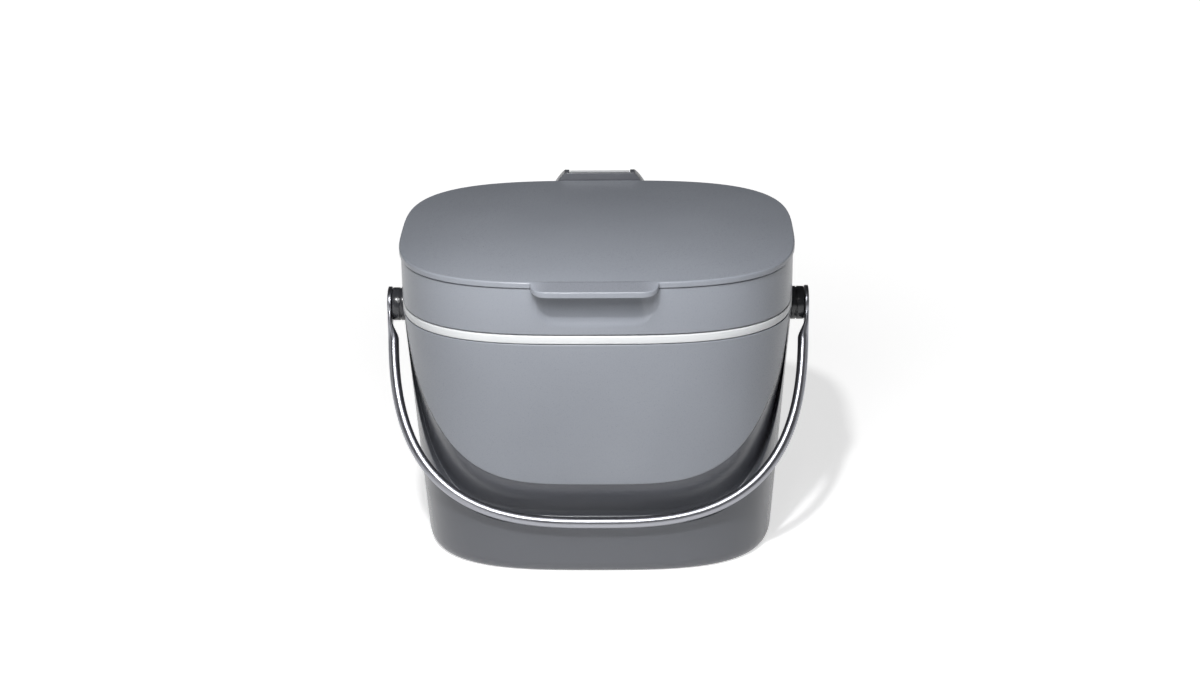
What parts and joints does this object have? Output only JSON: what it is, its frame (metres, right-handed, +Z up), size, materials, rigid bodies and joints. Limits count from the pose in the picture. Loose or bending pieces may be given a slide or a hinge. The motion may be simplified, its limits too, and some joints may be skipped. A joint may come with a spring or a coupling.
{
  "type": "compost caddy",
  "caption": "Oval countertop compost caddy with a hinged lid, a lift-off collar and a bail handle that folds into a channel under the front panel.",
  "frame": {"origin": "middle of the bucket's flat base, on the table", "axes": "+Z up, -Y towards the front with the lid's lip, +Y towards the hinge, +X to the right seen from the front"},
  "size_m": [0.2876, 0.2193, 0.2203],
  "materials": {
    "body_plastic": "glossy",
    "pale_plastic": "satin",
    "bush_plastic": "glossy",
    "satin_steel": "satin",
    "steel": "satin",
    "seal_rubber": "matte"
  },
  "bodies": {
    "bucket_body": {"bucket": "body_plastic", "trim_ring": "pale_plastic", "pivot_bush_left": "bush_plastic", "pivot_bush_right": "bush_plastic", "pivot_pin_left": "steel", "pivot_pin_right": "steel"},
    "handle": {"handle_bail": "satin_steel"},
    "collar_body": {"collar": "body_plastic", "hinge_bracket": "pale_plastic", "hinge_pin": "steel", "hinge_screws": "steel"},
    "lid": {"lid_shell": "body_plastic", "lid_liner": "pale_plastic", "lid_seal": "seal_rubber"}
  },
  "joints": [
    {"name": "handle_swing", "type": "hinge", "parent": "bucket_body", "child": "handle", "pos_m": [0, 0, 0.1605], "axis": [-1, 0, 0], "range_deg": [0, 283.4]},
    {"name": "collar_lift", "type": "slide", "parent": "bucket_body", "child": "collar_body", "axis": [0, 0, 1], "range_m": [0, 0.06]},
    {"name": "lid_hinge", "type": "hinge", "parent": "collar_body", "child": "lid", "pos_m": [0, 0.109, 0.2152], "axis": [-1, 0, 0], "range_deg": [0, 100]}
  ]
}
